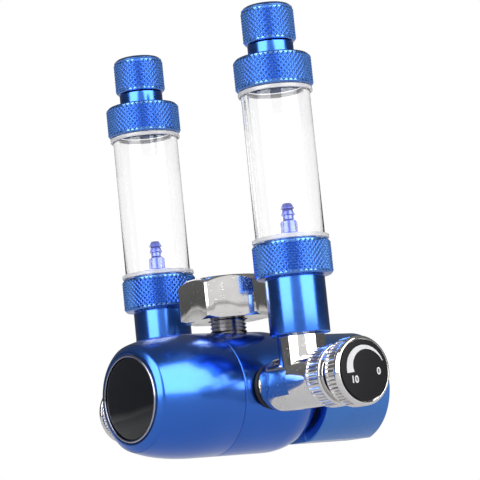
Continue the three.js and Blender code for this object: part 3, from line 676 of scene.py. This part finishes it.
def bonnet_dome():
    start, end = span("bonnet_dome", X)
    radius = radius_of("bonnet_dome", Z)
    seam = span("regulator_body", X)[0] - 0.06
    dome = ellipse(radius, -20, -40.8, 25, 7.1, 32)[::-1]
    recess_floor = start + 2.2
    return turned(X, [
        (5.3, recess_floor),
        (14.05, recess_floor),
        (14.05, start, 0.12),
        (14.8, start, 0.3),
        (*dome[0], 1.1),
        *dome[1:],
        (radius, seam, 0.35),
        (16.0, seam),
        (16.0, end),
        (13.0, end),
        (13.0, -15.4),
        (7.3, -15.4),
        (7.3, -31.1),
        (5.3, -31.1),
    ], sides=192)


def badge_bezel():
    start, end = span("badge_bezel", X)
    inner = radius_of("badge_bezel", Z) - 1.3
    outer = inner + 0.75
    return turned(X, [(inner, start, 0.2), (outer, start, 0.4), (outer, end), (inner, end)], sides=160)


def badge_disc():
    start, end = span("badge_disc", X)
    radius = radius_of("badge_disc", Z)
    crown = 0.9
    steps = 20
    face = [(radius * i / steps, start + crown * (i / steps) ** 2.2) for i in range(steps + 1)]
    return turned(X, [*face[:-1], (*face[-1], 0.18), (radius, end), (0, end)], sides=160)


piece("body_shell", regulator_body(), BLUE_METAL, "blue_anodised", "regulator_body")
piece("bonnet", bonnet_dome(), BLUE_METAL, "blue_anodised", "bonnet_dome")
piece("bezel", badge_bezel(), BEZEL_METAL, "chrome", "badge_bezel")
piece("badge", badge_disc(), BADGE_GLOSS, "black_gloss", "badge_disc")


# ---- Inlet stem and cylinder nut ----------------------------------------------------------------------------
def inlet_stem():
    foot, top = span("inlet_stem", Z)
    flange = top - 2.4
    core = 5.25
    shank = turned(Z, [
        (2.0, foot, 0.3),
        (core, foot, 0.5),
        (core, 26.6),
        (6.0, 27.1),
        (6.0, flange),
        (9.7, flange, 0.25),
        (9.7, top, 0.3),
        (4.0, top),
        (4.0, flange),
        (2.0, flange),
    ], sides=96)
    thread_start = 16.2
    pitch = 1.2
    sizes = {"Turns": 8.5, "Radius": core * MM, "Pitch": pitch * MM, "Depth": 0.72 * MM}
    thread = placed(THREAD.grow(DARK_STEEL, **sizes), Z, (0, 0, thread_start))
    return joined(shank, thread)


def hexagon_prism(corner, start, end, turn):
    """A six-sided bar along Z, by its corners' radius, its flats' normals turned by so many degrees."""
    bar = revolve([(0, start), (corner, start), (corner, end), (0, end)], sides=6)
    bar.transform(Matrix.Rotation(math.radians(30 + turn), 4, "Z"))
    return placed(bar, Z)


def cylinder_nut():
    start, end = span("cylinder_nut", Z)
    across_flats = 27.0
    turn = -1.4
    corner = across_flats / math.sqrt(3)
    flat = across_flats / 2
    bar = hexagon_prism(corner, start, end, turn)
    envelope = turned(Z, [
        (0, start),
        (corner - 1.5, start),
        (corner - 0.25, start + 0.9),
        (corner - 0.25, end - 1.9),
        (flat - 0.5, end),
        (0, end),
    ], sides=120)
    bore = turned(Z, [
        (0, start - 1),
        (6.5, start - 1),
        (6.5, start + 4.0),
        (10.3, start + 4.0),
        (10.3, end - 0.8),
        (11.1, end + 0.001),
        (11.1, end + 1),
        (0, end + 1),
    ], sides=120)
    body = carved(bar, ("INTERSECT", envelope), ("DIFFERENCE", bore))
    rounding = {"width": 0.28 * MM, "segments": 2, "limit_method": "ANGLE", "angle_limit": math.radians(25)}
    body = worked(body, ("BEVEL", rounding))
    threads = {"Turns": 6.0, "Radius": 10.34 * MM, "Pitch": 1.3 * MM, "Depth": 0.4 * MM}
    return joined(body, placed(THREAD.grow(CHROME, **threads), Z, (0, 0, start + 4.6)))


def inlet_seal():
    start, end = span("inlet_seal", Z)
    outer = radius_of("inlet_seal")
    return turned(Z, [(4.3, start, 0.2), (outer, start, 0.2), (outer, end, 0.35), (4.3, end, 0.3)], sides=96)


piece("stem", inlet_stem(), DARK_STEEL, "dark_steel", "inlet_stem")
piece("nut", cylinder_nut(), CHROME, "chrome", "cylinder_nut")
piece("seal", inlet_seal(), SEAL, "white_seal", "inlet_seal")


# ---- Solenoid housing ---------------------------------------------------------------------------------------
def solenoid_gasket():
    start, end = span("solenoid_gasket", X)
    outer = radius_of("solenoid_gasket", Z)
    return turned(X, [(6.3, start), (outer, start, 0.35), (outer, end, 0.35), (6.3, end)], sides=160)


def solenoid_housing():
    start, end = span("solenoid_housing", X)
    floor, top = span("solenoid_housing", Z)
    return turned(X, [
        (6.3, start),
        (top, start, 0.55),
        (top, end, 0.8),
        (16.2, end, 0.2),
        (16.2, end - 2.3),
        (15.5, end - 2.3),
        (15.5, start + 2.4),
        (6.3, start + 2.4),
    ], sides=256, flat=-floor)


def rear_cover():
    start, end = span("rear_cover", X)
    radius = radius_of("rear_cover", Z)
    groove = 12.6
    plate = turned(X, [
        (0, start),
        (radius, start),
        (radius, end, 0.3),
        (groove + 0.4, end, 0.1),
        (groove, end - 0.35, 0.1),
        (groove - 0.4, end, 0.1),
        (0, end),
    ], sides=160)
    low, high = span("cable_gland", Z)
    gland_z = (low + high) / 2
    hole = turned(X, [(0, start - 1), (5.3, start - 1), (5.3, end + 1), (0, end + 1)], (0, 0, gland_z), 64)
    return carved(plate, ("DIFFERENCE", hole))


def cable_gland():
    start, end = span("cable_gland", X)
    low, high = span("cable_gland", Z)
    face = span("solenoid_housing", X)[1]
    radius = (high - low) / 2
    waist = face + 2.2
    return turned(X, [
        (3.3, start),
        (5.0, start),
        (5.0, face),
        (radius, face, 0.3),
        (radius, waist, 0.3),
        (radius - 0.8, waist + 0.25),
        (radius - 0.8, waist + 0.6),
        (radius - 0.4, waist + 0.8),
        (radius - 1.2, end, 0.5),
        (3.3, end, 0.3),
    ], (0, 0, (low + high) / 2), 96)


piece("gasket", solenoid_gasket(), RUBBER, "black_rubber", "solenoid_gasket")
piece("housing", solenoid_housing(), BLOCK_METAL, "blue_anodised", "solenoid_housing")
piece("cover", rear_cover(), BLUE_METAL, "blue_anodised", "rear_cover")
piece("gland", cable_gland(), RUBBER, "black_rubber", "cable_gland")


# ---- Needle valves ------------------------------------------------------------------------------------------
COUNTER_OUT = -(sum(span("front_counter_tube", Y)) / 2)
COUNTER_PLACE = (0, -COUNTER_OUT, 0)
SOCKET_BORE = 11.3


def port_washer():
    start, end = reach("front_port_washer")
    outer = radius_of("front_port_washer")
    return turned("out", [(5.0, start), (outer, start, 0.2), (outer, end, 0.2), (5.0, end)], sides=96)


def box_mesh(low, high):
    """A plain block between two corners, in millimetres about the body's axis."""
    bm = bmesh.new()
    bmesh.ops.create_cube(bm, size=1)
    size = Vector(high) - Vector(low)
    middle = (Vector(high) + Vector(low)) / 2
    place = Matrix.Translation(middle * MM + Vector((0, 0, AXIS_Z)))
    bmesh.ops.transform(bm, matrix=place @ Matrix.Diagonal((*(size * MM), 1)), verts=bm.verts)
    mesh = bpy.data.meshes.new("block")
    bm.to_mesh(mesh)
    bm.free()
    return mesh


def valve_body():
    inner, outer = reach("front_valve_body")
    nose = inner + 6.4
    end = nose + 26
    radius = 8.7
    tee = turned("out", [
        (0, inner),
        (4.7, inner, 0.4),
        (4.7, nose),
        (6.6, nose, 0.2),
        (8.0, nose + 1.7, 0.5),
        (radius, nose + 4.6, 0.6),
        (radius, end, 0.4),
        (6.0, end),
        (6.0, outer, 0.4),
        (0, outer),
    ], sides=160)
    boss_top = 14.2
    boss = turned(Z, [
        (0, 0),
        (7.5, 0),
        (7.5, boss_top, 0.35),
        (4.7, boss_top),
        (4.7, boss_top + 4, 0.4),
        (0, boss_top + 4),
    ], COUNTER_PLACE, 128)
    tip = nose + 10.4
    bore = turned("out", [
        (0, inner - 1),
        (1.5, inner - 1),
        (1.5, tip + 0.2),
        (3.3, tip + 2.2),
        (3.3, outer + 1),
        (0, outer + 1),
    ], sides=48)
    riser = turned(Z, [(0, 0), (1.5, 0), (1.5, boss_top + 5), (0, boss_top + 5)], COUNTER_PLACE, 48)
    flat = radius - 1
    wrench = [(flat, radius + 1), (-radius - 1, -flat)]
    blocks = [box_mesh((a, -nose - 15.8, -4.6), (b, -nose - 1.8, 4.6)) for a, b in wrench]
    cuts = [("UNION", boss)]
    cuts += [("DIFFERENCE", tool) for tool in (*blocks, bore, riser)]
    return carved(tee, *cuts)


def lock_ring():
    start, end = reach("front_lock_ring")
    radius = radius_of("front_lock_ring")
    root = radius - 0.55
    band = 4.6
    ring = turned("out", [
        (6.3, start),
        (radius - 0.15, start, 0.35),
        (radius - 0.15, start + 0.7, 0.15),
        (root, start + 0.9),
        (root, start + 0.9 + band),
        (radius - 0.1, start + 1.1 + band, 0.15),
        (radius - 0.1, end, 0.5),
        (3.3, end),
        (3.3, end - 2.1),
        (6.3, end - 2.1),
    ], sides=160)
    return joined(ring, ridged_band(46, radius, start + 0.9, band, 0.62))


def knob():
    start, end = reach("front_knob")
    radius = radius_of("front_knob")
    grip = start + 2.7
    band = 3.4
    root = radius - 0.6
    recess_floor = end - 0.6
    body = turned("out", [
        (3.3, start),
        (7.6, start, 0.4),
        (7.6, grip, 0.2),
        (radius - 0.2, grip, 0.4),
        (radius - 0.2, grip + 0.6, 0.15),
        (root, grip + 0.8),
        (root, grip + 0.8 + band),
        (radius - 0.05, grip + 1.0 + band, 0.15),
        (radius, end - 0.9, 0.3),
        (radius - 0.55, end, 0.3),
        (9.6, end, 0.12),
        (9.6, recess_floor),
        (0, recess_floor),
        (0, recess_floor - 1.5),
        (3.3, recess_floor - 1.5),
    ], sides=160)
    ridges = ridged_band(52, radius, grip + 0.8, band, 0.68)
    hole = revolve([(0, 3.0), (1.8, 3.0), (1.8, radius + 1), (0, radius + 1)], 40)
    hole.transform(Matrix.Rotation(math.radians(150), 4, "Y"))
    hole = placed(hole, Z, (0, -(grip + (recess_floor - grip) / 2), 0))
    return joined(carved(body, ("DIFFERENCE", hole)), ridges)


PRINT_DEPTH = 0.06


def dial_disc():
    start, end = reach("front_dial")
    radius = radius_of("front_dial")
    face = end - PRINT_DEPTH
    return turned("out", [(0, start), (radius, start), (radius, face, 0.15), (0, face)], sides=160)


def dial_arc():
    """A white arc that narrows from the open end of the scale to the closed one."""
    start, end = reach("front_dial")
    radius = radius_of("front_dial")
    stations = [(186, 0.45, 0.755), (140, 0.56, 0.79), (90, 0.675, 0.82), (50, 0.765, 0.85), (20, 0.845, 0.87)]
    steps = 15
    edges = []
    for (a1, i1, o1), (a2, i2, o2) in zip(stations, stations[1:]):
        for k in range(steps):
            t = k / steps
            edges.append((a1 + (a2 - a1) * t, i1 + (i2 - i1) * t, o1 + (o2 - o1) * t))
    edges.append(stations[-1])
    bm = bmesh.new()
    rings = []
    for degrees, inner, outer in edges:
        angle = math.radians(degrees)
        corners = [(inner, end - 2 * PRINT_DEPTH), (outer, end - 2 * PRINT_DEPTH), (outer, end), (inner, end)]
        ring = []
        for share, out in corners:
            place = (radius * share * math.cos(angle), -out, radius * share * math.sin(angle))
            ring.append(bm.verts.new(Vector(place) * MM + Vector((0, 0, AXIS_Z))))
        rings.append(ring)
    for one, two in zip(rings, rings[1:]):
        for i in range(4):
            j = (i + 1) % 4
            bm.faces.new((one[i], one[j], two[j], two[i]))
    bm.faces.new(rings[0])
    bm.faces.new(rings[-1])
    bmesh.ops.recalc_face_normals(bm, faces=bm.faces)
    mesh = bpy.data.meshes.new("arc")
    bm.to_mesh(mesh)
    bm.free()
    return mesh


def dial_number(text, across, up):
    """A plain number on the dial, its middle at a share of the dial's radius across and up."""
    end = reach("front_dial")[1]
    radius = radius_of("front_dial")
    curve = bpy.data.curves.new("number", "FONT")
    curve.body = text
    curve.size = 3.0 * MM
    curve.align_x = "CENTER"
    curve.align_y = "CENTER"
    curve.extrude = PRINT_DEPTH / 2 * MM
    curve.offset = 0.09 * MM
    mesh = worked(curve)
    mesh.transform(Matrix.Translation((radius * across * MM, radius * up * MM, 0)))
    return placed(mesh, "out", (0, -(end - PRINT_DEPTH / 2), 0))


pair("washer", port_washer(), RUBBER, "black_rubber", "port_washer")
pair("tee", valve_body(), CHROME, "chrome", "valve_body")
pair("locking_ring", lock_ring(), CHROME, "chrome", "lock_ring")
pair("grip", knob(), CHROME, "chrome", "knob")
pair("dial_plate", dial_disc(), DIAL_BLACK, "black_gloss", "dial")
print_marks = joined(dial_arc(), dial_number("10", -0.46, -0.30), dial_number("0", 0.60, -0.06))
pair("dial_marks", print_marks, DIAL_WHITE, "white_seal", rides_with="dial")


# ---- Bubble counters ----------------------------------------------------------------------------------------
def counter_base():
    start, top = span("front_counter_base", Z)
    radius = radius_of("front_counter_base")
    shoulder = span("front_lower_collar", Z)[0] - 0.3
    return turned(Z, [
        (5.0, start, 0.15),
        (radius, start, 0.35),
        (radius, shoulder, 0.2),
        (8.7, shoulder),
        (8.7, top, 0.2),
        (3.3, top),
        (3.3, 36.3),
        (2.5, 36.3),
        (2.5, 22.5),
        (1.5, 21.0),
        (1.5, start + 4),
        (5.0, start + 4),
    ], COUNTER_PLACE)


def lower_collar():
    start, end = span("front_lower_collar", Z)
    radius = radius_of("front_lower_collar")
    root = radius - KNURL_DEPTH
    sleeve = turned(Z, [
        (9.0, start),
        (radius - 0.75, start, 0.15),
        (root, start + 0.45, 0.1),
        (root, end - 0.45, 0.1),
        (radius - 0.75, end, 0.15),
        (SOCKET_BORE, end),
        (SOCKET_BORE, start + 2.6),
        (9.0, start + 2.6),
    ], COUNTER_PLACE)
    return joined(sleeve, placed(knurled_band(radius, start + 0.3, end - 0.3), Z, COUNTER_PLACE))


def ring_washer(node, inner):
    start, end = span(node, Z)
    outer = radius_of(node)
    return turned(Z, [(inner, start, 0.2), (outer, start, 0.3), (outer, end, 0.3), (inner, end, 0.2)], COUNTER_PLACE)


def counter_tube():
    start, end = span("front_counter_tube", Z)
    outer = radius_of("front_counter_tube")
    inner = outer - 2
    return turned(Z, [(inner, start, 0.2), (outer, start, 0.2), (outer, end, 0.2), (inner, end, 0.2)], COUNTER_PLACE)


def bubble_nozzle():
    start, top = span("front_bubble_nozzle", Z)
    base = top - 10.9
    return turned(Z, [
        (0.8, start),
        (3.0, start, 0.3),
        (3.0, base),
        (6.1, base, 0.2),
        (6.1, base + 1, 0.25),
        (2.9, base + 1.4, 0.3),
        (2.9, top - 5.7, 0.3),
        (1.8, top - 5.1, 0.2),
        (1.8, top - 3.9),
        (2.5, top - 3.7, 0.12),
        (1.7, top - 2.0),
        (2.5, top - 1.7, 0.12),
        (1.5, top, 0.2),
        (0.8, top, 0.1),
    ], COUNTER_PLACE, 64)


def upper_cap():
    start, end = span("front_upper_cap", Z)
    radius = radius_of("front_upper_cap")
    root = radius - KNURL_DEPTH
    ceiling = end - 4.5
    shell = turned(Z, [
        (SOCKET_BORE, start),
        (radius - 0.75, start, 0.15),
        (root, start + 0.45, 0.1),
        (root, end - 0.5, 0.1),
        (radius - 0.9, end, 0.2),
        (3.3, end),
        (3.3, ceiling),
        (SOCKET_BORE, ceiling),
    ], COUNTER_PLACE)
    return joined(shell, placed(knurled_band(radius, start + 0.3, end - 0.35), Z, COUNTER_PLACE))


def outlet_nozzle():
    foot, tip = span("front_outlet_nozzle", Z)
    neck = foot + 7
    shoulder = neck + 4
    return turned(Z, [
        (1.0, foot),
        (3.0, foot, 0.2),
        (3.0, neck),
        (7.35, neck, 0.25),
        (7.35, shoulder, 0.25),
        (3.9, shoulder, 0.2),
        (2.0, shoulder + 4),
        (2.0, tip, 0.35),
        (1.0, tip, 0.15),
    ], COUNTER_PLACE, 96)


def clamp_nut():
    start, top = span("front_clamp_nut", Z)
    radius = radius_of("front_clamp_nut")
    root = radius - KNURL_DEPTH
    shoulder = top - 1.7
    shell = turned(Z, [
        (5.5, start),
        (radius - 0.8, start, 0.15),
        (root, start + 0.45, 0.1),
        (root, shoulder, 0.15),
        (radius - 0.2, shoulder + 0.3, 0.15),
        (radius - 1.3, top - 0.35, 0.5),
        (radius / 2, top - 0.02, 1.0),
        (2.5, top, 0.2),
        (2.5, top - 2.9),
        (5.5, top - 2.9),
    ], COUNTER_PLACE)
    return joined(shell, placed(knurled_band(radius, start + 0.3, shoulder + 0.1), Z, COUNTER_PLACE))


pair("barrel", counter_base(), BARREL_METAL, "blue_anodised", "counter_base")
pair("collar", lower_collar(), KNURL_METAL, "blue_anodised", "lower_collar")
pair("collar_washer", ring_washer("front_lower_washer", SOCKET_BORE), SEAL, "white_seal", "lower_washer")
pair("tube", counter_tube(), ACRYLIC, "clear_acrylic", "counter_tube")
pair("barb", bubble_nozzle(), BARB_METAL, "blue_anodised", "bubble_nozzle")
pair("cap_washer", ring_washer("front_upper_washer", SOCKET_BORE), SEAL, "white_seal", "upper_washer")
pair("cap", upper_cap(), KNURL_METAL, "blue_anodised", "upper_cap")
pair("outlet", outlet_nozzle(), BARREL_METAL, "blue_anodised", "outlet_nozzle")
pair("hose_clamp", clamp_nut(), KNURL_METAL, "blue_anodised", "clamp_nut")


# ---- Inner pieces that keep their CAD shape -----------------------------------------------------------------
KEPT = {
    BRASS: ("adjusting_screw", "spring_plate", "piston", "poppet", "inlet_filter"),
    STEEL: ("regulating_spring", "poppet_spring", "guide_tube", "plunger", "plunger_spring"),
    RUBBER: ("piston_oring",),
    SEAL: ("valve_seat",),
    COPPER: ("solenoid_coil",),
    CHROME: ("coil_nut",),
}


def coat(node, finish):
    for slot in frame["nodes"][node].material_slots:
        slot.material = finish


for metal, nodes in KEPT.items():
    for node in nodes:
        coat(node, metal)
for side in ("front", "rear"):
    coat(f"{side}_needle", STEEL)
    coat(f"{side}_check_ball", STEEL)
    coat(f"{side}_knob_screw", DARK_STEEL)


# ---- Floor, lamps and world ---------------------------------------------------------------------------------
def direction(azimuth, elevation):
    """A direction from the object, its azimuth counted to the right of the camera, in degrees."""
    facing = math.atan2(CAMERA_PLACE.x, -CAMERA_PLACE.y) + math.radians(azimuth)
    rise = math.radians(elevation)
    return Vector((math.sin(facing) * math.cos(rise), -math.cos(facing) * math.cos(rise), math.sin(rise)))


def softbox(name, azimuths, elevations, radiance, glossy):
    """A lit panel that fills a range of directions as the object sees them, for gloss or for plain light."""
    middle = direction(sum(azimuths) / 2, sum(elevations) / 2)
    width = 2 * STUDIO_DISTANCE * math.tan(math.radians(azimuths[1] - azimuths[0]) / 2)
    height = 2 * STUDIO_DISTANCE * math.tan(math.radians(elevations[1] - elevations[0]) / 2)
    data = bpy.data.lights.new(name, "AREA")
    data.shape = "RECTANGLE"
    data.size = width
    data.size_y = height
    data.energy = radiance * math.pi * width * height
    lamp = bpy.data.objects.new(name, data)
    lamp.location = middle * STUDIO_DISTANCE
    lamp.rotation_euler = (-middle).to_track_quat("-Z", "Y").to_euler()
    lamp.visible_camera = False
    lamp.visible_glossy = glossy
    lamp.visible_diffuse = not glossy
    bpy.context.scene.collection.objects.link(lamp)


def pale_floor():
    half = 4.0
    mesh = bpy.data.meshes.new("floor")
    corners = [(-half, -half, FLOOR_Z), (half, -half, FLOOR_Z), (half, half, FLOOR_Z), (-half, half, FLOOR_Z)]
    mesh.from_pydata(corners, [], [(0, 1, 2, 3)])
    finish = Finish("pale_floor")
    reach_out = finish.node("ShaderNodeVectorMath", {"operation": "LENGTH"}, {0: finish.place}, "Value")
    # Painted shade: the floor's colour is darker close under the object and paler further out, with a faint random
    # mottle mixed in.
    painted_shade_and_mottle = reach_out.ramp(0.1, 0.9) * 0.95 + finish.noise(3, 2) * 0.05
    finish.feed("Base Color", finish.blend(painted_shade_and_mottle, (0.80, 0.80, 0.805, 1), (0.90, 0.90, 0.905, 1)))
    finish.surface.inputs["Roughness"].default_value = 0.8
    finish.surface.inputs["Specular IOR Level"].default_value = 0.1
    mesh.materials.append(finish.material)
    floor = bpy.data.objects.new("floor", mesh)
    bpy.context.scene.collection.objects.link(floor)


def studio_world():
    """White to the camera and through clear plastic; a dim room with a white horizon to metal."""
    world = bpy.data.worlds.new("studio")
    world.use_nodes = True
    bpy.context.scene.world = world
    bench = Bench(world.node_tree)
    background = world.node_tree.nodes["Background"]
    way = bench.node("ShaderNodeTexCoord", output="Generated")
    rise = bench.node("ShaderNodeSeparateXYZ", None, {0: way}, "Z")
    rays = bench.node("ShaderNodeLightPath")
    seen = rays.other("Is Camera Ray").most(rays.other("Is Transmission Ray"))
    horizon = rise.ramp(-0.04, 0.02, 1.0, 0.0) * rays.other("Is Glossy Ray")
    white = seen.most(horizon)
    room = rays.other("Is Diffuse Ray") * 0.3 + rise.ramp(0.1, 0.9, 0.1, 0.2)
    level = white + (1 - white) * room
    settings = {"data_type": "RGBA"}
    colour = bench.node("ShaderNodeMix", settings, {0: level, 6: (0, 0, 0, 1), 7: (1, 1, 1, 1)}, 2)
    bench.tree.links.new(colour.socket, background.inputs["Color"])
    background.inputs["Strength"].default_value = 1.0


pale_floor()
softbox("right_gloss", (20, 72), (0, 54), 5.2, True)
softbox("left_gloss", (-62, -18), (0, 54), 5.0, True)
softbox("front_gloss", (-18, 20), (0, 40), 0.7, True)
softbox("right_light", (20, 72), (0, 54), 2.9, False)
softbox("left_light", (-62, -18), (0, 54), 2.9, False)
studio_world()
